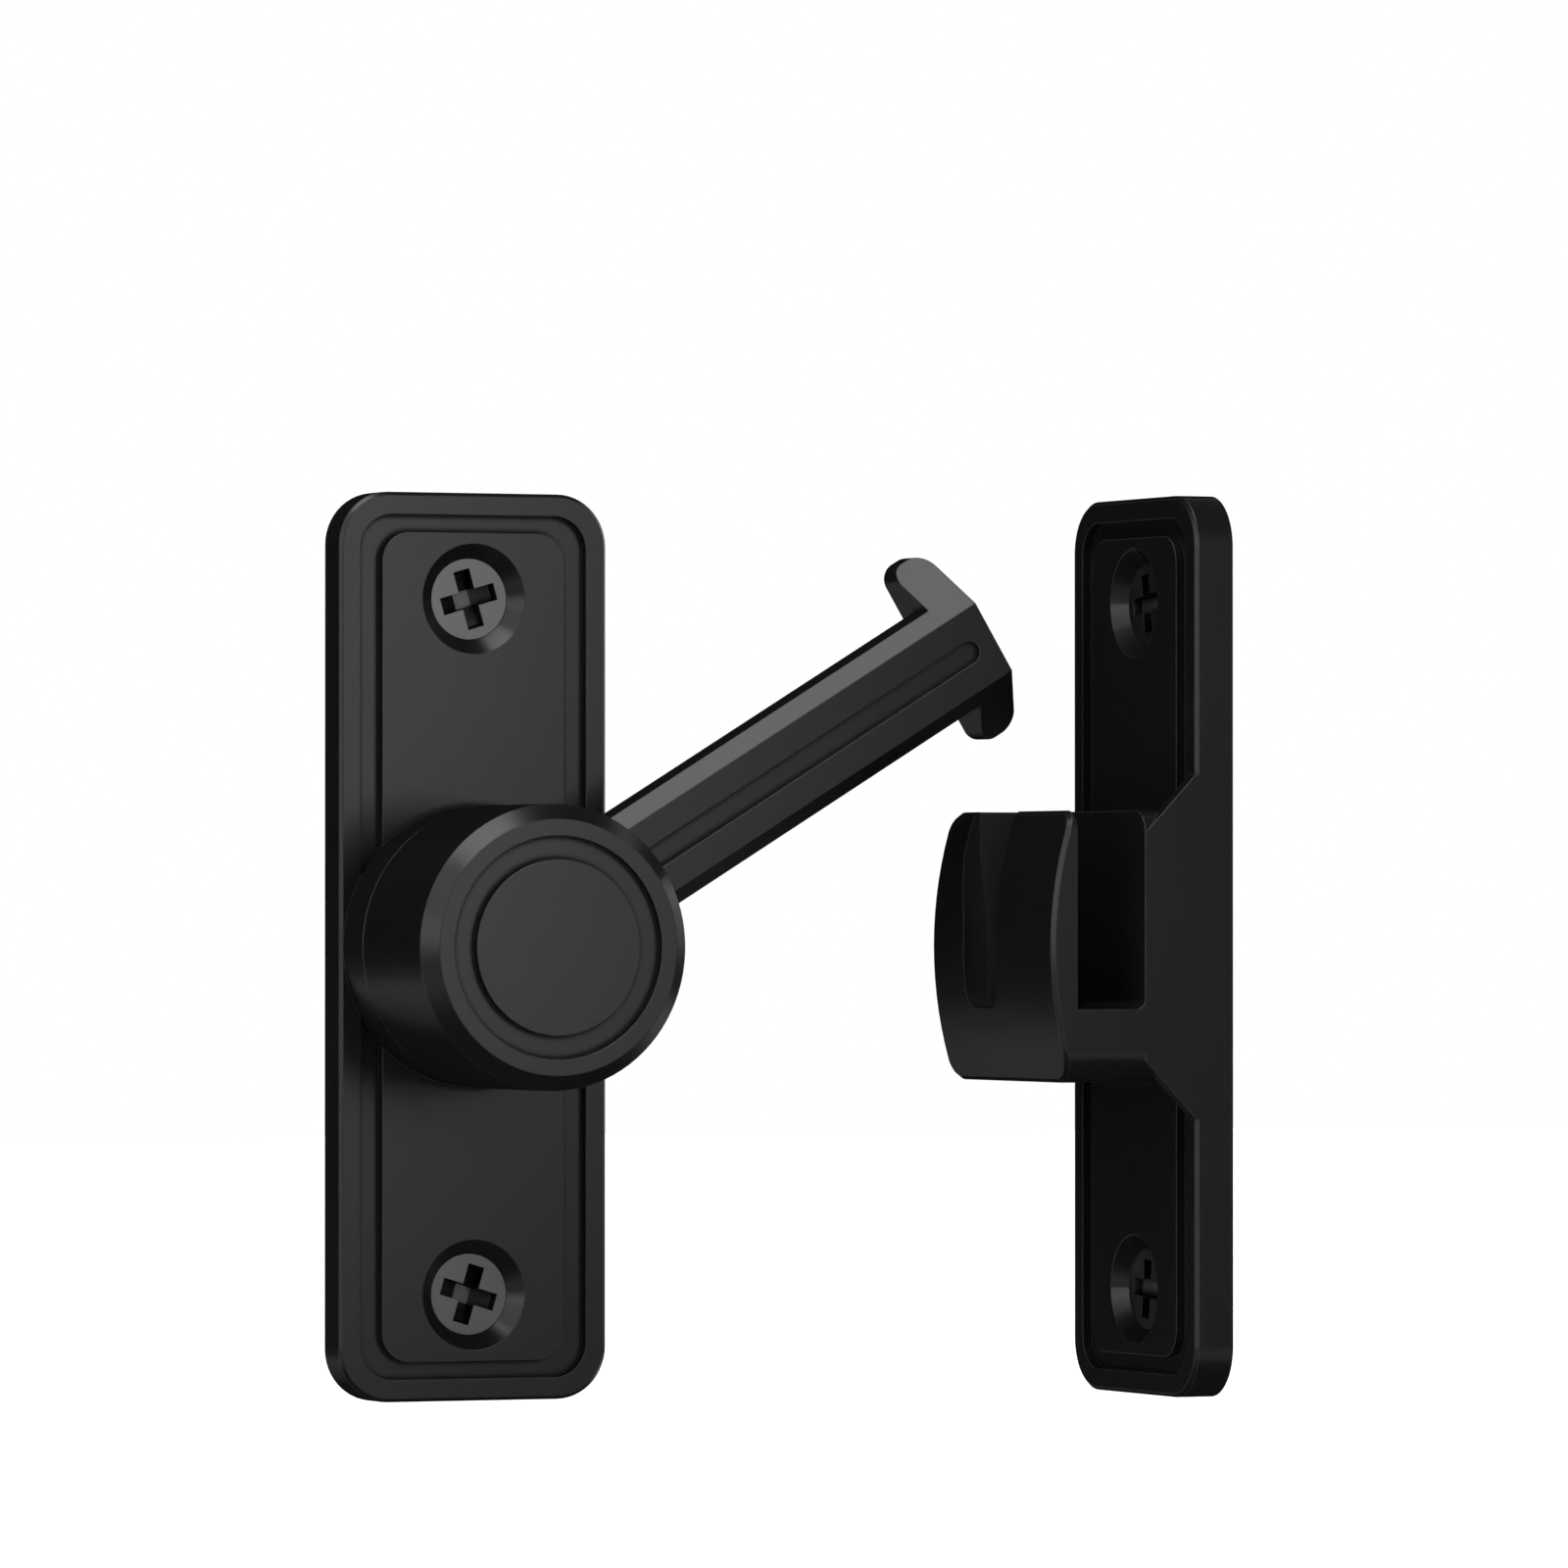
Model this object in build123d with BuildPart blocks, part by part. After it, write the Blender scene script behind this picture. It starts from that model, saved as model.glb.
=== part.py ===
from build123d import *
import os
from math import cos, radians, sin, sqrt, tan

# Barn door latch, in millimetres. The latch sits on the door's face, the plane Y = 0, with the room
# towards -Y. The origin is the hub's axis at the back of the latch plate. The keeper sits on the jamb,
# at right angles to the door, on the +X side. The arm is drawn raised, as it is left when unlocked.

# Both plates
plate_height = 90.0
plate_width = 28.5
plate_thickness = 4.1
plate_corner_radius = 5.2
plate_edge_chamfer = 0.35
rim_width = 2.2
trough_side_width = 2.3
trough_end_width = 1.75
trough_depth = 1.0
trough_corner_radius = 3.4
panel_corner_radius = 2.9

# Countersunk screws, two in each plate
screw_end_margin = 10.5
screw_diameter = 4.0
screw_length = 8.0
screw_tip_length = 2.0
screw_head_diameter = 8.1
screw_head_sink = 1.4
screw_hole_clearance = 0.25
screw_seat_clearance = 0.03
countersink_angle = 90.0
recess_span = 5.9
recess_arm_width = 1.7
recess_end_lean = 0.25
recess_end_depth = 0.9
recess_core_width = 1.6
recess_depth = 2.0
latch_upper_turn = 16.0
latch_lower_turn = -17.0
keeper_upper_turn = 8.0
keeper_lower_turn = -6.0

# Base boss under the hub
boss_diameter = 27.8
boss_height = 5.3
boss_edge_chamfer = 0.2

# Hub
hub_diameter = 28.0
hub_gap = 0.3
hub_height = 16.4
hub_chamfer = 1.5
hub_rear_chamfer = 0.3
hub_trough_diameter = 21.8
hub_disc_diameter = 17.2
hub_trough_depth = 0.85

# Arm, measured from the hub's axis, with heights above the hub's rear face
rest_angle = 31.1
arm_length = 60.0
arm_width = 11.0
arm_bevel = 1.6
arm_thickness = 5.1
arm_height = 1.0
arm_groove_width = 2.3
arm_groove_depth = 0.6
arm_groove_margin = 2.0

# T-shaped head at the arm's end
head_span = 20.2
head_lobe_width = 4.2
head_depth = 8.9
head_corner_radius = 1.7

# Pivot through the boss
pivot_diameter = 8.0
pivot_clearance = 0.05
pivot_head_diameter = 11.0
pivot_head_height = 1.9
pivot_head_sink = 0.3
pivot_thread_diameter = 5.0
pivot_thread_length = 9.0
pivot_thread_clearance = 0.03
pivot_hole_allowance = 1.0
counterbore_clearance = 0.4
washer_bore_clearance = 0.15
flat_washer_diameter = 12.0
flat_washer_thickness = 0.5
spring_washer_diameter = 11.4
spring_washer_thickness = 0.4
spring_washer_height = 0.7
friction_ring_diameter = 20.0
friction_ring_thickness = 1.2
friction_ring_bore_clearance = 0.3
friction_ring_rim_clearance = 0.3

# Keeper: its place beside the door, and the block on its plate that catches the arm's head
keeper_door_gap = 2.0
block_front_wall = 2.8
block_base = 5.6
block_far_wall = 4.0
block_floor = 2.2
block_face_radius = 41.0
block_corner_radius = 2.2
block_near_radius = 3.5
block_edge_chamfer = 0.4
head_end_clearance = 1.1
head_play = 3.2
lobe_clearance = 0.5
seat_drop = 0.7
slot_clearance = 1.2
slot_corner_radius = 2.0
slot_flare = 2.0
slot_flare_run = 6.7
slot_mouth_height = 4.3
pocket_corner_radius = 1.0
fin_foot_drop = 2.25
fin_rise = 5.9
fin_thickness = 1.4

# Levels above the door's face, towards the room
boss_front = plate_thickness + boss_height
hub_rear = boss_front + hub_gap
hub_front = hub_rear + hub_height
arm_back = hub_rear + arm_height
arm_front = arm_back + arm_thickness
head_back = arm_front - head_depth
counterbore_depth = pivot_head_sink + pivot_head_height + spring_washer_height + flat_washer_thickness
hub_recess_floor = boss_front + friction_ring_thickness

# Keeper levels along X: the pocket takes the head's swing, and the plate lies behind the block's base
pocket_back = arm_length + head_end_clearance
pocket_front = pocket_back - head_lobe_width - head_play
block_front = pocket_front - block_front_wall
keeper_front = pocket_back + block_base
jamb_distance = keeper_front + plate_thickness
keeper_centre = -(keeper_door_gap + plate_width / 2)

# Screws keep their distance from the plates' ends
screw_spacing = plate_height - 2 * screw_end_margin

# Planes: the door's face and back, the jamb's face, and the arm's own frame
door_face = Plane(origin=(0, 0, 0), x_dir=(1, 0, 0), z_dir=(0, -1, 0))
door_back = Plane(origin=(0, 0, 0), x_dir=(-1, 0, 0), z_dir=(0, 1, 0))
jamb_face = Plane(origin=(jamb_distance, keeper_centre, 0), x_dir=(0, -1, 0), z_dir=(-1, 0, 0))
along_arm = Vector(cos(radians(rest_angle)), 0, sin(radians(rest_angle)))
across_arm = Vector(-sin(radians(rest_angle)), 0, cos(radians(rest_angle)))
swing_plane = Plane(origin=(0, 0, 0), x_dir=along_arm, z_dir=(0, -1, 0))
arm_section = Plane(origin=(0, 0, 0), x_dir=across_arm, z_dir=along_arm)
pivot_axis = Axis((0, 0, 0), (0, -1, 0))

# The countersink opens at the panel and narrows to the head, which sits below the panel
sink_slope = tan(radians(countersink_angle / 2))
sink_radius = screw_head_diameter / 2 + screw_seat_clearance + screw_head_sink * sink_slope
screw_hole_radius = screw_diameter / 2 + screw_hole_clearance


def screw_plate(back):
    """Round-cornered plate with a rim, a trough, a level panel and two countersunk holes."""
    front = back.offset(plate_thickness)
    trough_inset = 2 * rim_width
    panel_width = plate_width - trough_inset - 2 * trough_side_width
    panel_height = plate_height - trough_inset - 2 * trough_end_width
    with BuildPart() as plate:
        with BuildSketch(back):
            RectangleRounded(plate_width, plate_height, plate_corner_radius)
        extrude(amount=plate_thickness)
        front_edges = plate.faces().sort_by(Axis(back.origin, back.z_dir))[-1].edges()
        chamfer(front_edges, plate_edge_chamfer)
        with BuildSketch(front):
            RectangleRounded(plate_width - trough_inset, plate_height - trough_inset, trough_corner_radius)
            RectangleRounded(panel_width, panel_height, panel_corner_radius, mode=Mode.SUBTRACT)
        extrude(amount=-trough_depth, mode=Mode.SUBTRACT)
        with Locations(front):
            with GridLocations(0, screw_spacing, 1, 2):
                CounterSinkHole(
                    screw_hole_radius,
                    sink_radius,
                    counter_sink_angle=countersink_angle,
                )
    return plate.part


def upright(level, turn=0):
    """Plane that stands on a level plane, turned about its normal, with its own y along that normal."""
    across = level.x_dir.rotate(Axis(level.origin, level.z_dir), turn)
    return Plane(origin=level.origin, x_dir=across, z_dir=across.cross(level.z_dir))


def cross_recess(top, turn):
    """Room for a cross-head driver: two crossing slots whose floors slope down to the middle."""
    end = recess_span / 2
    core = recess_core_width / 2
    with BuildPart() as recess:
        for slot_turn in (turn, turn + 90):
            with BuildSketch(upright(top, slot_turn)):
                with BuildLine():
                    Polyline(
                        (-end, 0),
                        (recess_end_lean - end, -recess_end_depth),
                        (-core, -recess_depth),
                        (core, -recess_depth),
                        (end - recess_end_lean, -recess_end_depth),
                        (end, 0),
                        close=True,
                    )
                make_face()
            extrude(amount=recess_arm_width / 2, both=True)
    return recess.part


def countersunk_screw(top, turn):
    """Self-tapping screw whose head's top lies on the given plane, with its cross recess turned."""
    recess = cross_recess(top, turn)
    head_radius = screw_head_diameter / 2
    shank_radius = screw_diameter / 2
    head_depth_below = (head_radius - shank_radius) / sink_slope
    with BuildPart() as screw:
        with BuildSketch(upright(top)):
            with BuildLine():
                Polyline(
                    (0, 0),
                    (head_radius, 0),
                    (shank_radius, -head_depth_below),
                    (shank_radius, screw_tip_length - screw_length),
                    (0, -screw_length),
                    close=True,
                )
            make_face()
        revolve(axis=Axis(top.origin, top.z_dir))
        add(recess, mode=Mode.SUBTRACT)
    return screw.part


def head_seat(back, side):
    """Plane of a screw head's top: side is 1 for the upper hole and -1 for the lower one."""
    place = back.from_local_coords((0, side * screw_spacing / 2, plate_thickness - screw_head_sink))
    return Plane(origin=place, x_dir=back.x_dir, z_dir=back.z_dir)


def ring(base, outer_diameter, inner_diameter, thickness):
    """Flat ring standing on a plane."""
    with BuildPart() as washer:
        with BuildSketch(base):
            Circle(outer_diameter / 2)
            Circle(inner_diameter / 2, mode=Mode.SUBTRACT)
        extrude(amount=thickness)
    return washer.part


# Latch plate with the round boss that the hub turns on
latch_blank = screw_plate(door_face)
with BuildPart() as latch_plate:
    add(latch_blank)
    with BuildSketch(door_face.offset(plate_thickness - trough_depth)):
        Circle(boss_diameter / 2)
    extrude(amount=boss_height + trough_depth)
    chamfer(latch_plate.faces().sort_by(Axis.Y)[0].edges(), boss_edge_chamfer)
    with Locations(door_back):
        CounterBoreHole(
            pivot_diameter / 2 + pivot_clearance,
            flat_washer_diameter / 2 + counterbore_clearance,
            counterbore_depth,
        )

# Hub and arm in one casting: the arm and its head first, then the hub over the arm's root
half_flat = arm_width / 2 - arm_bevel
head_tip = head_span / 2
head_tip_front = arm_front - (head_tip - half_flat)
with BuildPart() as hub_arm:
    with BuildSketch(arm_section):
        with BuildLine():
            Polyline(
                (-arm_width / 2, arm_back),
                (arm_width / 2, arm_back),
                (arm_width / 2, arm_front - arm_bevel),
                (half_flat, arm_front),
                (-half_flat, arm_front),
                (-arm_width / 2, arm_front - arm_bevel),
                close=True,
            )
        make_face()
    extrude(amount=arm_length)
    # Head: its lobes carry the arm's bevels on, over a flat back
    with BuildSketch(arm_section.offset(arm_length - head_lobe_width)):
        with BuildLine():
            Polyline(
                (-head_tip, head_back),
                (head_tip, head_back),
                (head_tip, head_tip_front),
                (half_flat, arm_front),
                (-half_flat, arm_front),
                (-head_tip, head_tip_front),
                close=True,
            )
        make_face()
    extrude(amount=head_lobe_width)
    lobe_sides = Axis((0, 0, 0), across_arm)
    upright_edges = hub_arm.edges().filter_by(Axis.Y)
    tip_edges = upright_edges.group_by(lobe_sides)[0] + upright_edges.group_by(lobe_sides)[-1]
    fillet(tip_edges, head_corner_radius)
    # Round-ended groove along the arm's front
    groove_length = arm_length - arm_groove_margin
    with BuildSketch(swing_plane.offset(arm_front)):
        with Locations((groove_length / 2, 0)):
            SlotOverall(groove_length, arm_groove_width)
    extrude(amount=-arm_groove_depth, mode=Mode.SUBTRACT)
    # Hub, with a chamfered front, a ring-shaped trough and a level disc
    with BuildSketch(swing_plane.offset(hub_rear)):
        Circle(hub_diameter / 2)
    extrude(amount=hub_height)
    hub_rims = hub_arm.edges().filter_by(GeomType.CIRCLE)
    chamfer(hub_rims.group_by(Axis.Y)[0], hub_chamfer)
    chamfer(hub_rims.group_by(Axis.Y)[-1], hub_rear_chamfer)
    with BuildSketch(swing_plane.offset(hub_front)):
        Circle(hub_trough_diameter / 2)
        Circle(hub_disc_diameter / 2, mode=Mode.SUBTRACT)
    extrude(amount=-hub_trough_depth, mode=Mode.SUBTRACT)
    # Rear recess for the friction ring, and the tapped hole for the pivot screw
    with BuildSketch(swing_plane.offset(hub_rear)):
        Circle(friction_ring_diameter / 2 + friction_ring_rim_clearance)
    extrude(amount=hub_recess_floor - hub_rear, mode=Mode.SUBTRACT)
    with BuildSketch(swing_plane.offset(hub_recess_floor)):
        Circle(pivot_thread_diameter / 2 + pivot_thread_clearance)
    extrude(amount=pivot_thread_length + pivot_hole_allowance, mode=Mode.SUBTRACT)

# Pivot screw: head in the counterbore, shoulder through the boss, thread in the hub
pivot_recess = cross_recess(door_back.offset(-pivot_head_sink), 0)
with BuildPart() as pivot_screw:
    with BuildSketch(door_face.offset(pivot_head_sink)):
        Circle(pivot_head_diameter / 2)
    extrude(amount=pivot_head_height)
    with BuildSketch(door_face.offset(pivot_head_sink + pivot_head_height)):
        Circle(pivot_diameter / 2)
    extrude(amount=hub_recess_floor - pivot_head_sink - pivot_head_height)
    with BuildSketch(door_face.offset(hub_recess_floor)):
        Circle(pivot_thread_diameter / 2)
    extrude(amount=pivot_thread_length)
    add(pivot_recess, mode=Mode.SUBTRACT)

# Conical spring washer between the pivot screw's head and the flat washer
spring_bore = pivot_diameter / 2 + washer_bore_clearance
spring_rim = spring_washer_diameter / 2
spring_rise = spring_washer_height - spring_washer_thickness
spring_section = Plane(origin=(0, 0, 0), x_dir=(1, 0, 0), z_dir=(0, 0, -1))
spring_base = pivot_head_sink + pivot_head_height
with BuildPart() as spring_washer:
    with BuildSketch(spring_section):
        with BuildLine():
            Polyline(
                (spring_bore, spring_base),
                (spring_bore, spring_base + spring_washer_thickness),
                (spring_rim, spring_base + spring_washer_height),
                (spring_rim, spring_base + spring_rise),
                close=True,
            )
        make_face()
    revolve(axis=pivot_axis)

# Flat washer on the counterbore's floor, and the plastic ring between the boss and the hub
washer_bore = pivot_diameter + 2 * washer_bore_clearance
friction_bore = pivot_diameter + 2 * friction_ring_bore_clearance
flat_washer_level = counterbore_depth - flat_washer_thickness
flat_washer = ring(
    door_face.offset(flat_washer_level),
    flat_washer_diameter,
    washer_bore,
    flat_washer_thickness,
)
friction_ring = ring(
    door_face.offset(boss_front),
    friction_ring_diameter,
    friction_bore,
    friction_ring_thickness,
)

# Keeper: a plate like the latch's, on the jamb, with the block that catches the arm's head
head_drop = head_tip + seat_drop + lobe_clearance
block_top = head_drop + block_floor
block_root = keeper_front + trough_depth
block_near = keeper_door_gap + plate_width
face_edge = block_front + block_face_radius - sqrt(block_face_radius**2 - block_top**2)
pocket_far = keeper_door_gap + block_far_wall
seat_level = -(arm_width / 2 + seat_drop)
open_level = 2 * block_top
slot_near = arm_front + slot_clearance
slot_far = arm_back - slot_clearance
flare_top = block_top - slot_mouth_height
flare_foot = flare_top - slot_flare_run
fin_foot = block_top - fin_foot_drop
fin_tip = fin_foot + fin_rise
keeper_blank = screw_plate(jamb_face)
with BuildPart() as keeper:
    # Block: a side outline with a bowed face, run across the plate's whole width
    with BuildSketch(Plane.XZ.offset(keeper_door_gap)):
        with BuildLine():
            Polyline(
                (face_edge, block_top),
                (block_root, block_top),
                (block_root, -block_top),
                (face_edge, -block_top),
            )
            ThreePointArc((face_edge, -block_top), (block_front, 0), (face_edge, block_top))
        make_face()
    extrude(amount=plate_width)
    fillet(keeper.edges().filter_by(Axis.X).group_by(Axis.Z)[-1], block_corner_radius)
    fillet(keeper.edges().filter_by(Axis.X).group_by(Axis.Z)[0].sort_by(Axis.Y)[-1], block_corner_radius)
    fillet(keeper.edges().filter_by(Axis.X).group_by(Axis.Z)[0].sort_by(Axis.Y)[0], block_near_radius)
    chamfer(keeper.faces().sort_by(Axis.X)[0].edges(), block_edge_chamfer)
    add(keeper_blank)
    # Gusset fins that run the near side out onto the plate's rim
    with BuildSketch(Plane.XZ.offset(block_near - fin_thickness)):
        with BuildLine():
            Polyline(
                (pocket_back, fin_foot),
                (keeper_front, fin_tip),
                (block_root, fin_tip),
                (block_root, -fin_tip),
                (keeper_front, -fin_tip),
                (pocket_back, -fin_foot),
                close=True,
            )
        make_face()
    extrude(amount=fin_thickness)
    # Pocket for the head, open above and on the near side
    with BuildSketch(Plane.XZ.offset(pocket_far)) as pocket_outline:
        with BuildLine():
            Polyline(
                (pocket_front, open_level),
                (pocket_front, seat_level),
                (pocket_back, seat_level),
                (pocket_back, open_level),
                close=True,
            )
        make_face()
        fillet(pocket_outline.vertices().group_by(Axis.Z)[0].sort_by(Axis.X)[-1], pocket_corner_radius)
    extrude(amount=block_near - pocket_far, mode=Mode.SUBTRACT)
    # Deeper pocket for the lower lobe
    with BuildSketch(Plane.XZ.offset(pocket_far)):
        with BuildLine():
            Polyline(
                (pocket_front, seat_level + pocket_corner_radius),
                (pocket_front, -head_drop),
                (pocket_back, -head_drop),
                (pocket_back, seat_level + pocket_corner_radius),
                close=True,
            )
        make_face()
    extrude(amount=slot_near - pocket_far, mode=Mode.SUBTRACT)
    # Slot for the arm through the front wall, wider at its mouth on the door's side
    with BuildSketch(Plane.YZ.offset(block_front - block_front_wall)) as slot_outline:
        with BuildLine():
            Polyline(
                (-slot_near, open_level),
                (-slot_near, seat_level),
                (-slot_far, seat_level),
                (-slot_far, flare_foot),
                (slot_flare - slot_far, flare_top),
                (slot_flare - slot_far, open_level),
                close=True,
            )
        make_face()
        fillet(slot_outline.vertices().group_by(Axis.Z)[0], slot_corner_radius)
    extrude(amount=pocket_back - block_front, mode=Mode.SUBTRACT)

# The four screws
latch_screw_upper = countersunk_screw(head_seat(door_face, 1), latch_upper_turn)
latch_screw_lower = countersunk_screw(head_seat(door_face, -1), latch_lower_turn)
keeper_screw_upper = countersunk_screw(head_seat(jamb_face, 1), keeper_upper_turn)
keeper_screw_lower = countersunk_screw(head_seat(jamb_face, -1), keeper_lower_turn)

pieces = {
    "latch_plate": latch_plate.part,
    "hub_arm": hub_arm.part,
    "pivot_screw": pivot_screw.part,
    "spring_washer": spring_washer.part,
    "flat_washer": flat_washer,
    "friction_ring": friction_ring,
    "latch_screw_upper": latch_screw_upper,
    "latch_screw_lower": latch_screw_lower,
    "keeper": keeper.part,
    "keeper_screw_upper": keeper_screw_upper,
    "keeper_screw_lower": keeper_screw_lower,
}
os.makedirs("parts", exist_ok=True)
for name, piece in pieces.items():
    piece.label = name
    export_step(piece, f"parts/{name}.step")
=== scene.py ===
import math

import bmesh
import bpy
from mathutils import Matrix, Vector


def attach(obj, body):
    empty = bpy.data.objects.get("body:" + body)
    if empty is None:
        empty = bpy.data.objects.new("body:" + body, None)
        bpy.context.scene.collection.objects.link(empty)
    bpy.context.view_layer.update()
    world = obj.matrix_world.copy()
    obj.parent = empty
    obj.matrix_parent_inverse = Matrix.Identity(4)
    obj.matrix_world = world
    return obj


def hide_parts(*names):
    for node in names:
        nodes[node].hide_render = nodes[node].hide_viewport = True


# The looks of the barn door latch, in metres: satin black castings, black screws with real
# threads, the steel and nylon pieces of the pivot, and the white studio of the photograph.
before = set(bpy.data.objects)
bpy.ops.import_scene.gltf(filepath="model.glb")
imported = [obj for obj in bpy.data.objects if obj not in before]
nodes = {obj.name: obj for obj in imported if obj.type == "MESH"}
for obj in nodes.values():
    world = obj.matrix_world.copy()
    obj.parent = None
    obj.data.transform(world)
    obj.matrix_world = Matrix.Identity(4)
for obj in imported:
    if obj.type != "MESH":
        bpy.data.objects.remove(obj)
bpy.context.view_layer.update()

MM = 0.001

# The photograph's camera: the point it looks at, its turn and rise, its distance and its lens
PHOTO_PIXELS = 1600
FOCAL_PIXELS = 10888.2
SENSOR_MM = 36.0
AIM = Vector((0.035392, 0.0, 0.016331))
VIEW_TURN = math.radians(23.774)
VIEW_RISE = math.radians(0.641)
VIEW_DISTANCE = 1.07604
VIEW_REACH = 100.0

# Distant lamps: where each shines from, how wide it looks from the latch, and its strength
LAMPS = {
    "key_lamp": {"from": (-0.28, -0.24, 0.93), "width": 40.0, "strength": 1.18},
    "upper_left_lamp": {"from": (-0.756, -0.362, 0.54), "width": 26.0, "strength": 0.21},
    "left_lamp": {"from": (-0.915, -0.40, 0.10), "width": 28.0, "strength": 0.34},
    "right_lamp": {"from": (0.95, 0.05, 0.30), "width": 50.0, "strength": 0.4},
    "rear_lamp": {"from": (0.62, 0.78, 0.05), "width": 50.0, "strength": 1.4},
    "top_lamp": {"from": (0.10, 0.35, 0.93), "width": 30.0, "strength": 0.1},
}
# Soft box in front, on the right: its middle, its sides and its power
FRONT_LAMP = {
    "at": (0.110, -0.43, 0.10),
    "sides": (0.14, 0.28),
    "power": 0.285,
    "colour": (1.0, 0.975, 0.95),
}
# Studio around the latch: its light on matt faces, and how much of it shows in gloss
AMBIENT = 0.04
REFLECTED_STUDIO = 0.005

# Floor, well below the latch, because the photograph shows none
FLOOR_LEVEL = -0.30
FLOOR_HALF = 12.0
FLOOR_COLOUR = (0.85, 0.85, 0.85, 1.0)
FLOOR_GLOW = 0.80
# A lit ring on the floor, which only reflections show: the radii where it rises and where it
# fades out, its strength in front, straight behind and on both sides behind, and the stretches
# over which the front and the sides come in
SHINE_RISE = (0.45, 0.70)
SHINE_FADE = (1.10, 1.60)
FRONT_SHINE = 0.42
REAR_SHINE = 0.15
SIDE_SHINE = 0.95
FRONT_FROM = (0.3, -0.3)
SIDES_FROM = (0.40, 0.60)

# Satin coat of the castings: its colours, the last a painted highlight along the edges, and what
# makes it rougher or takes its gloss away
COAT_DARK = (0.0106, 0.0100, 0.0093, 1)
COAT_PALE = (0.0136, 0.0129, 0.0121, 1)
# A paler colour for the painted highlight along the edges
COAT_PAINTED_HIGHLIGHT = (0.100, 0.098, 0.095, 1)
COAT_ROUGHNESS = 0.24
ROUGHER = {"cloud": 0.05, "grain": 0.06, "crevice": 0.40, "pocket": 0.45}
DULLER = {"crevice": 0.75, "pocket": 0.6}
# How strongly the painted edge highlight comes in
EDGE_HIGHLIGHT_GAIN = 1.6
# Shares of closed-in surface at which a corner begins to count as a crevice, and fully does
CREVICE = (0.1, 0.1 + 1 / 3)
# Inside of the keeper's slot and pocket, which the satin coat hardly reaches: its two corners,
# and the sideways normal that tells the block's own outer face from its inner walls
POCKET = ((0.0512, -0.0169, -0.0113), (0.0660, -0.0060, 0.0139))
OUTER_FACE = -0.8

# Black oxide of the screws: the painted shade of its recess, its colours, and how open a face is
# where that painted shade ends
RECESS_PAINTED_SHADE = (0.006, 0.006, 0.006, 1)
OXIDE_DARK = (0.17, 0.17, 0.172, 1)
OXIDE_PALE = (0.21, 0.21, 0.212, 1)
RECESS = (1 / 3, 1.0)

STEEL_DARK = (0.50, 0.50, 0.51, 1)
STEEL_PALE = (0.62, 0.62, 0.62, 1)
NYLON_DARK = (0.70, 0.67, 0.58, 1)
NYLON_PALE = (0.78, 0.76, 0.68, 1)

# Screws, as in the CAD: each head's middle, and the way each screw points
SCREWS = {
    "latch_screw_upper": ((0.0, -0.0027, 0.0345), (0.0, 1.0, 0.0)),
    "latch_screw_lower": ((0.0, -0.0027, -0.0345), (0.0, 1.0, 0.0)),
    "keeper_screw_upper": ((0.0681, -0.01625, 0.0345), (1.0, 0.0, 0.0)),
    "keeper_screw_lower": ((0.0681, -0.01625, -0.0345), (1.0, 0.0, 0.0)),
}
SHANK_RADIUS = 2.0 * MM
SHANK_TOLERANCE = 0.02 * MM
CORE_RADIUS = 1.35 * MM
SHANK_START = 2.04 * MM
TIP_START = 6.0 * MM
TIP_END = 8.0 * MM
MERGE_DISTANCE = 0.001 * MM
SCREW_THREAD = {
    "Pitch": 1.3 * MM,
    "Core Radius": CORE_RADIUS,
    "Ridge": 0.64 * MM,
    "Slimness": 0.45,
    "Start": 2.1 * MM,
    "End": 7.6 * MM,
    "Tip Start": TIP_START,
    "Tip End": TIP_END,
}
# The thread's mesh: steps in a turn, sides of its ridge, how thin it begins, and the turns that
# it takes to its full height
TURN_STEPS = 24
RIDGE_SIDES = 3
THIN_START = 0.05
GROWING_TURNS = 0.5

# Sockets of a Mix node that mixes colours
SHARE, LOW, HIGH, MIXED = 0, 6, 7, 2
# Rays that soften an edge or feel for a corner at each point, and how strongly edges stand out
FEELERS = 6
EDGE_CONTRAST = 6.0


class Value:
    """A number that varies over a surface. Arithmetic on it adds Math nodes."""

    def __init__(self, tree, socket):
        self.tree = tree
        self.socket = socket

    def math(self, operation, first, second=None):
        node = self.tree.nodes.new("ShaderNodeMath")
        node.operation = operation
        for place, term in enumerate((first, second)):
            if isinstance(term, Value):
                self.tree.links.new(term.socket, node.inputs[place])
            elif term is not None:
                node.inputs[place].default_value = term
        return Value(self.tree, node.outputs[0])

    def __add__(self, other):
        return self.math("ADD", self, other)

    def __radd__(self, other):
        return self.math("ADD", other, self)

    def __sub__(self, other):
        return self.math("SUBTRACT", self, other)

    def __rsub__(self, other):
        return self.math("SUBTRACT", other, self)

    def __mul__(self, other):
        return self.math("MULTIPLY", self, other)

    def __rmul__(self, other):
        return self.math("MULTIPLY", other, self)

    def __truediv__(self, other):
        return self.math("DIVIDE", self, other)

    def __rtruediv__(self, other):
        return self.math("DIVIDE", other, self)

    def __pow__(self, other):
        return self.math("POWER", self, other)

    def __rpow__(self, other):
        return self.math("POWER", other, self)

    def above(self, level):
        return self.math("GREATER_THAN", self, level)

    def below(self, level):
        return self.math("LESS_THAN", self, level)

    def clamped(self):
        held = self.math("MULTIPLY", self, 1.0)
        held.socket.node.use_clamp = True
        return held

    def ramp(self, start, end):
        """0 up to the start, rising to 1 at the end, which may also lie below the start."""
        return ((self - start) / (end - start)).clamped()

    def between(self, low, high):
        """From low where this value is 0 to high where it is 1."""
        return self * (high - low) + low


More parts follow.
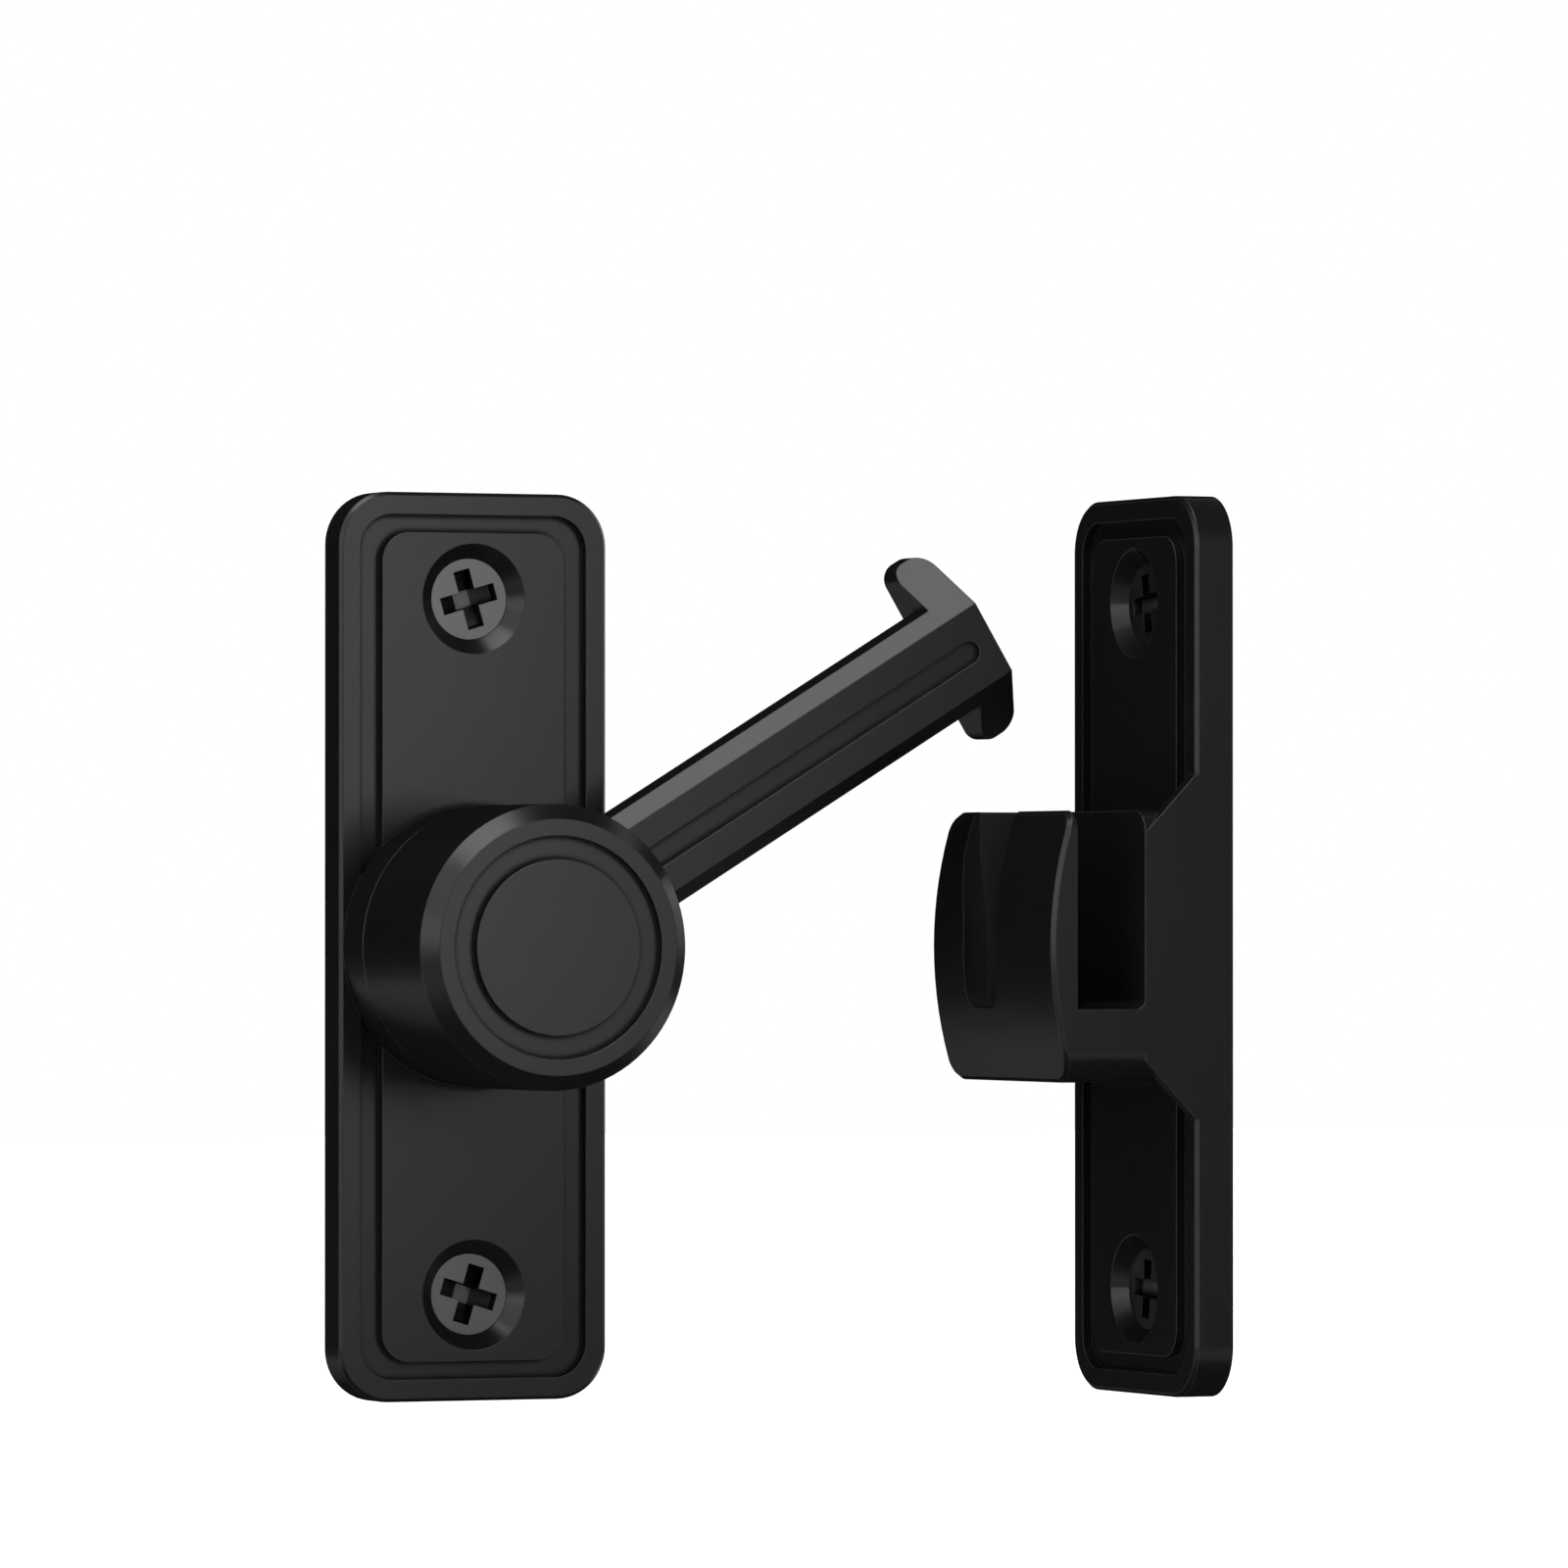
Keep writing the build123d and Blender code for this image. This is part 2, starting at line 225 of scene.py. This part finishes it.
class Finish:
    """A node tree under construction: one method adds any node with its settings and inputs."""

    def __init__(self, tree):
        self.tree = tree
        self.tree.nodes.clear()

    def add(self, kind, settings=None, inputs=None, output=0):
        node = self.tree.nodes.new(kind)
        for key, setting in (settings or {}).items():
            setattr(node, key, setting)
        for key, term in (inputs or {}).items():
            if isinstance(term, Value):
                self.tree.links.new(term.socket, node.inputs[key])
            else:
                node.inputs[key].default_value = term
        return Value(self.tree, node.outputs[output]) if len(node.outputs) else None

    def outputs(self, kind, names, inputs=None):
        """Several outputs of one new node, by their names."""
        node = self.add(kind, inputs=inputs).socket.node
        return [Value(self.tree, node.outputs[name]) for name in names]

    def split(self, vector):
        return self.outputs("ShaderNodeSeparateXYZ", "XYZ", {"Vector": vector})

    def place(self):
        return self.add("ShaderNodeTexCoord", output="Object")

    def noise(self, where, scale, detail=2.0, roughness=0.5):
        inputs = {"Vector": where, "Scale": scale, "Detail": detail, "Roughness": roughness}
        return self.add("ShaderNodeTexNoise", inputs=inputs, output="Fac")

    def colours(self, share, low, high):
        inputs = {SHARE: share, LOW: low, HIGH: high}
        return self.add("ShaderNodeMix", {"data_type": "RGBA"}, inputs, MIXED)

    def rounded(self, radius):
        """The surface's normal with its sharp edges rounded off to a small radius."""
        return self.add("ShaderNodeBevel", {"samples": FEELERS}, {"Radius": radius})

    def bump(self, height, distance, strength, normal=None):
        inputs = {"Height": height, "Distance": distance, "Strength": strength}
        if normal is not None:
            inputs["Normal"] = normal
        return self.add("ShaderNodeBump", inputs=inputs)

    def inside(self, where, box):
        """1 inside a box of two corners, 0 outside it."""
        share = 1.0
        for along, low, high in zip(self.split(where), *box):
            share = along.above(low) * along.below(high) * share
        return share

    def openness(self, distance):
        """1 on open faces, falling towards 0 in corners and recesses of this size."""
        settings = {"samples": FEELERS, "only_local": True}
        return self.add("ShaderNodeAmbientOcclusion", settings, {"Distance": distance}, "AO")

    def flat_normal(self):
        return self.add("ShaderNodeNewGeometry", output="Normal")

    def edges(self, soft_normal):
        """0 on flat faces, rising to 1 along the edges that the softened normal rounds."""
        sides = {0: soft_normal, 1: self.flat_normal()}
        settings = {"operation": "DOT_PRODUCT"}
        alike = self.add("ShaderNodeVectorMath", settings, sides, "Value")
        return ((1.0 - alike) * EDGE_CONTRAST).clamped()

    def grazing(self, normal, start, end):
        """0 on faces that are seen squarely, rising to 1 on faces that are seen edge-on."""
        inputs = {"Blend": 0.5, "Normal": normal}
        return self.add("ShaderNodeLayerWeight", inputs=inputs, output="Facing").ramp(start, end)

    def surface(self, inputs, dullness=None):
        """A glossy finish, mixed with the same one without its gloss where dullness is 1."""
        shader = self.add("ShaderNodeBsdfPrincipled", inputs=inputs)
        if dullness is not None:
            glossless = {**inputs, "Specular IOR Level": 0.0}
            matt = self.add("ShaderNodeBsdfPrincipled", inputs=glossless)
            shader = self.add("ShaderNodeMixShader", inputs={0: dullness, 1: shader, 2: matt})
        self.add("ShaderNodeOutputMaterial", inputs={"Surface": shader})


def node_tree(owner):
    owner.use_nodes = True
    return owner.node_tree


def put_in_scene(name, data):
    """A new object at the origin, shown in the scene."""
    thing = bpy.data.objects.new(name, data)
    bpy.context.scene.collection.objects.link(thing)
    return thing


def black_casting():
    """Satin black coat on die-cast metal: fine grain, dull in corners, and a painted highlight on
    its edges.
    """
    material = bpy.data.materials.new("satin_black_casting")
    finish = Finish(node_tree(material))
    where = finish.place()
    soft_edges = finish.rounded(0.16 * MM)
    cloud = finish.noise(where, scale=55.0, detail=3.0)
    grain = finish.noise(where, scale=3600.0, roughness=0.6)
    pores = finish.noise(where, scale=9000.0, detail=1.0)
    height = grain * 0.75 + pores * 0.25
    open_face = finish.openness(0.7 * MM)
    crevice = (1.0 - open_face).ramp(*CREVICE)
    patchy = finish.noise(where, scale=900.0, detail=3.0, roughness=0.6)
    # Painted highlight: a paler colour along the rounded edges of open faces, in patches
    painted_edge_highlight = (finish.edges(soft_edges) * open_face * (patchy * EDGE_HIGHLIGHT_GAIN)).clamped()
    coat = finish.colours(cloud, COAT_DARK, COAT_PALE)
    edge_on = finish.grazing(soft_edges, start=0.64, end=0.76)
    sideways = finish.split(finish.flat_normal())[0]
    in_pocket = finish.inside(where, POCKET) * sideways.above(OUTER_FACE)
    roughness = (
        COAT_ROUGHNESS + cloud * ROUGHER["cloud"] + grain * ROUGHER["grain"]
        + crevice * ROUGHER["crevice"] + in_pocket * ROUGHER["pocket"]
    )
    dullness = edge_on + crevice * DULLER["crevice"] + in_pocket * DULLER["pocket"]
    finish.surface({
        "Base Color": finish.colours(painted_edge_highlight, coat, COAT_PAINTED_HIGHLIGHT),
        "Roughness": roughness.clamped(),
        "Specular IOR Level": 0.55,
        "Normal": finish.bump(height, 0.012 * MM, strength=0.5, normal=soft_edges),
    }, dullness.clamped())
    return material


def black_screw():
    """Black oxide on steel: a smoother, brighter black than the castings, with painted shade in
    its recess.
    """
    material = bpy.data.materials.new("black_oxide_screw")
    finish = Finish(node_tree(material))
    where = finish.place()
    soft_edges = finish.rounded(0.08 * MM)
    cloud = finish.noise(where, scale=240.0, detail=3.0)
    grain = finish.noise(where, scale=5200.0)
    # Painted shade: near black deep in the cross recess, where a face is closed in
    open_face = finish.openness(2.0 * MM).ramp(*RECESS)
    oxide = finish.colours(cloud, OXIDE_DARK, OXIDE_PALE)
    finish.surface({
        "Base Color": finish.colours(open_face, RECESS_PAINTED_SHADE, oxide),
        "Metallic": 1.0,
        "Roughness": grain.between(0.34, 0.44),
        "Normal": finish.bump(grain, 0.006 * MM, strength=0.5, normal=soft_edges),
    })
    return material


def turned_steel():
    """Zinc-plated steel with the fine rings of turning about the pivot's axis."""
    material = bpy.data.materials.new("turned_steel")
    finish = Finish(node_tree(material))
    where = finish.place()
    x, y, z = finish.split(where)
    radius = (x * x + z * z) ** 0.5
    around = {"W": radius, "Scale": 6000.0}
    rings = finish.add("ShaderNodeTexNoise", {"noise_dimensions": "1D"}, around)
    cloud = finish.noise(where, scale=300.0, detail=3.0)
    soft_edges = finish.rounded(0.1 * MM)
    finish.surface({
        "Base Color": finish.colours(cloud, STEEL_DARK, STEEL_PALE),
        "Metallic": 1.0,
        "Roughness": cloud.between(0.26, 0.40),
        "Normal": finish.bump(rings, 0.01 * MM, strength=0.4, normal=soft_edges),
    })
    return material


def natural_nylon():
    """Moulded natural nylon, slightly cloudy."""
    material = bpy.data.materials.new("natural_nylon")
    finish = Finish(node_tree(material))
    where = finish.place()
    cloud = finish.noise(where, scale=180.0, detail=4.0)
    grain = finish.noise(where, scale=2600.0)
    finish.surface({
        "Base Color": finish.colours(cloud, NYLON_DARK, NYLON_PALE),
        "Roughness": grain.between(0.48, 0.60),
        "Normal": finish.bump(grain, 0.02 * MM, strength=0.4),
    })
    return material


def thread_tree(material):
    """Helical ridge at every point of the mesh, set along the point's own way, with thin ends."""
    group = bpy.data.node_groups.new("screw_thread", "GeometryNodeTree")
    socket = group.interface.new_socket
    socket(name="Places", in_out="INPUT", socket_type="NodeSocketGeometry")
    for name in SCREW_THREAD:
        socket(name=name, in_out="INPUT", socket_type="NodeSocketFloat")
    socket(name="Threads", in_out="OUTPUT", socket_type="NodeSocketGeometry")
    make = Finish(group)
    places, *given = make.outputs("NodeGroupInput", ["Places", *SCREW_THREAD])
    sizes = dict(zip(SCREW_THREAD, given))

    # The helix, drawn in to the screw's point
    rise = sizes["End"] - sizes["Start"]
    helix = make.add("GeometryNodeCurveSpiral", inputs={
        "Resolution": TURN_STEPS,
        "Rotations": rise / sizes["Pitch"],
        "Start Radius": sizes["Core Radius"],
        "End Radius": sizes["Core Radius"],
        "Height": rise,
    })
    x, y, z = make.split(make.add("GeometryNodeInputPosition"))
    depth = z + sizes["Start"]
    tip = make.add("ShaderNodeMapRange", inputs={
        "Value": depth,
        "From Min": sizes["Tip Start"],
        "From Max": sizes["Tip End"],
        "To Min": 1.0,
        "To Max": 0.0,
    })
    grown = make.add("ShaderNodeMapRange", inputs={
        "Value": z,
        "From Min": 0.0,
        "From Max": sizes["Pitch"] * GROWING_TURNS,
        "To Min": THIN_START,
        "To Max": 1.0,
    })
    drawn_in = make.add("ShaderNodeCombineXYZ", inputs={"X": x * tip, "Y": y * tip, "Z": depth})
    sized = {"Curve": helix, "Radius": tip * grown}
    helix = make.add("GeometryNodeSetCurveRadius", inputs=sized)
    moved = {"Geometry": helix, "Position": drawn_in}
    helix = make.add("GeometryNodeSetPosition", inputs=moved)
    helix = make.add("GeometryNodeSetCurveNormal", {"mode": "Z_UP"}, {"Curve": helix})

    # The ridge along it: a slim triangle with its point outwards
    triangle = make.add("GeometryNodeCurvePrimitiveCircle", inputs={
        "Resolution": RIDGE_SIDES,
        "Radius": sizes["Ridge"],
    })
    slim = make.add("ShaderNodeCombineXYZ", inputs={"X": 1.0, "Y": sizes["Slimness"], "Z": 1.0})
    ridge = make.add("GeometryNodeTransform", inputs={
        "Geometry": triangle,
        "Rotation": (0.0, 0.0, math.pi),
        "Scale": slim,
    })
    thread = make.add("GeometryNodeCurveToMesh", inputs={
        "Curve": helix,
        "Profile Curve": ridge,
        "Scale": make.add("GeometryNodeInputRadius"),
        "Fill Caps": True,
    })
    flat = {"Geometry": thread, "Shade Smooth": False}
    faceted = make.add("GeometryNodeSetShadeSmooth", inputs=flat)

    # One thread for each screw
    kind = {"data_type": "FLOAT_VECTOR"}
    way = make.add("GeometryNodeInputNamedAttribute", kind, {"Name": "way"})
    turn = make.add("FunctionNodeAlignRotationToVector", {"axis": "Z"}, {"Vector": way})
    copies = make.add("GeometryNodeInstanceOnPoints", inputs={
        "Points": places,
        "Instance": faceted,
        "Rotation": turn,
    })
    solid = make.add("GeometryNodeRealizeInstances", inputs={"Geometry": copies})
    coated = {"Geometry": solid, "Material": material}
    finished = make.add("GeometryNodeSetMaterial", inputs=coated)
    make.add("NodeGroupOutput", inputs={"Threads": finished})
    return group


def screw_threads(material):
    """The threads of all four screws, as one plain mesh."""
    places = bpy.data.meshes.new("screw_places")
    places.from_pydata([place for place, way in SCREWS.values()], [], [])
    ways = places.attributes.new("way", "FLOAT_VECTOR", "POINT")
    for point, (place, way) in zip(ways.data, SCREWS.values()):
        point.vector = way
    maker = put_in_scene("screw_places", places)
    modifier = maker.modifiers.new("screw_thread", "NODES")
    modifier.node_group = thread_tree(material)
    for item in modifier.node_group.interface.items_tree:
        if item.name in SCREW_THREAD:
            modifier[item.identifier] = SCREW_THREAD[item.name]
    ready = maker.evaluated_get(bpy.context.evaluated_depsgraph_get())
    threads = bpy.data.meshes.new_from_object(ready)
    maker.modifiers.remove(modifier)
    bpy.data.objects.remove(maker)
    bpy.data.meshes.remove(places)
    return threads


def screw_core(name, head, way):
    """A CAD screw with its shank drawn in to the core that carries the thread."""
    shape = bmesh.new()
    shape.from_mesh(nodes[name].data)
    bmesh.ops.remove_doubles(shape, verts=shape.verts, dist=MERGE_DISTANCE)
    for vertex in shape.verts:
        depth = (vertex.co - head).dot(way)
        out = vertex.co - head - way * depth
        on_shank = abs(out.length - SHANK_RADIUS) < SHANK_TOLERANCE and depth > SHANK_START
        if on_shank or depth > TIP_START:
            vertex.co -= out * (1.0 - CORE_RADIUS / SHANK_RADIUS)
    core = bpy.data.meshes.new("screw_core")
    shape.to_mesh(core)
    shape.free()
    return core


def make_screws(material):
    """The four CAD screws with real threads, as one piece."""
    cores = [screw_core(name, Vector(head), Vector(way)) for name, (head, way) in SCREWS.items()]
    shape = bmesh.new()
    for part in [*cores, screw_threads(material)]:
        shape.from_mesh(part)
        bpy.data.meshes.remove(part)
    mesh = bpy.data.meshes.new("screws")
    shape.to_mesh(mesh)
    shape.free()
    mesh.materials.append(material)
    screws = put_in_scene("screws", mesh)
    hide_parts(*SCREWS)
    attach(screws, "fixed")


def dress(names, material):
    for name in names:
        mesh = nodes[name].data
        mesh.materials.clear()
        mesh.materials.append(material)


def make_camera():
    data = bpy.data.cameras.new("photo_camera")
    data.sensor_width = SENSOR_MM
    data.lens = SENSOR_MM * FOCAL_PIXELS / PHOTO_PIXELS
    data.clip_end = VIEW_REACH
    camera = put_in_scene("photo_camera", data)
    level = math.cos(VIEW_RISE)
    east, north, up = math.sin(VIEW_TURN), math.cos(VIEW_TURN), math.sin(VIEW_RISE)
    camera.location = AIM - Vector((east * level, north * level, up)) * VIEW_DISTANCE
    camera.rotation_euler = (math.pi / 2 + VIEW_RISE, 0.0, -VIEW_TURN)
    bpy.context.scene.camera = camera


def turn_lamp(light, to_lamp):
    """Turn a lamp so that it shines back along the way that leads to it."""
    light.rotation_euler = to_lamp.to_track_quat("Z", "Y").to_euler()


def make_lamps():
    for name, lamp in LAMPS.items():
        data = bpy.data.lights.new(name, "SUN")
        data.energy = lamp["strength"]
        data.angle = math.radians(lamp["width"])
        turn_lamp(put_in_scene(name, data), Vector(lamp["from"]))
    data = bpy.data.lights.new("front_lamp", "AREA")
    data.shape = "RECTANGLE"
    data.size, data.size_y = FRONT_LAMP["sides"]
    data.energy = FRONT_LAMP["power"]
    data.color = FRONT_LAMP["colour"]
    light = put_in_scene("front_lamp", data)
    light.location = FRONT_LAMP["at"]
    turn_lamp(light, light.location - AIM)
    light.visible_camera = False


def make_world():
    """White behind the latch, a plain ambient light, and dim studio walls in its reflections."""
    world = bpy.data.worlds.new("studio")
    bpy.context.scene.world = world
    sky = Finish(node_tree(world))
    camera, glossy, through, diffuse = sky.outputs(
        "ShaderNodeLightPath",
        ["Is Camera Ray", "Is Glossy Ray", "Is Transmission Ray", "Is Diffuse Ray"],
    )
    strength = camera + through + glossy * REFLECTED_STUDIO + diffuse * AMBIENT
    white = {"Color": (1, 1, 1, 1), "Strength": strength}
    background = sky.add("ShaderNodeBackground", inputs=white)
    sky.add("ShaderNodeOutputWorld", inputs={"Surface": background})


def pale_floor():
    """Its own colour takes the shadow, and a glow for the camera brings it up to white."""
    material = bpy.data.materials.new("pale_floor")
    paint = Finish(node_tree(material))
    camera, glossy = paint.outputs("ShaderNodeLightPath", ["Is Camera Ray", "Is Glossy Ray"])
    matt = paint.add("ShaderNodeBsdfDiffuse", inputs={"Color": FLOOR_COLOUR})
    glow = paint.add("ShaderNodeEmission", inputs={"Strength": camera * FLOOR_GLOW})
    lit = paint.add("ShaderNodeAddShader", inputs={0: matt, 1: glow})
    x, y, z = paint.split(paint.place())
    radius = (x * x + y * y) ** 0.5
    ring = radius.ramp(*SHINE_RISE) * (1.0 - radius.ramp(*SHINE_FADE))
    in_front = y.ramp(*FRONT_FROM)
    aside = x.math("ABSOLUTE", x).ramp(*SIDES_FROM) * (1.0 - in_front)
    more = in_front * (FRONT_SHINE - REAR_SHINE) + aside * (SIDE_SHINE - REAR_SHINE)
    shine = ring * (more + REAR_SHINE) + REFLECTED_STUDIO
    reflected = paint.add("ShaderNodeEmission", inputs={"Strength": shine})
    seen = paint.add("ShaderNodeMixShader", inputs={0: glossy, 1: lit, 2: reflected})
    paint.add("ShaderNodeOutputMaterial", inputs={"Surface": seen})
    return material


def make_floor():
    square = [(-1, -1), (1, -1), (1, 1), (-1, 1)]
    corners = [(x * FLOOR_HALF, y * FLOOR_HALF, FLOOR_LEVEL) for x, y in square]
    mesh = bpy.data.meshes.new("studio_floor")
    mesh.from_pydata(corners, [], [(0, 1, 2, 3)])
    mesh.materials.append(pale_floor())
    put_in_scene("studio_floor", mesh)


bpy.context.scene.view_settings.view_transform = "Standard"
make_camera()
make_lamps()
make_world()
make_floor()
dress(["latch_plate", "hub_arm", "keeper"], black_casting())
make_screws(black_screw())
dress(["pivot_screw", "spring_washer", "flat_washer"], turned_steel())
dress(["friction_ring"], natural_nylon())
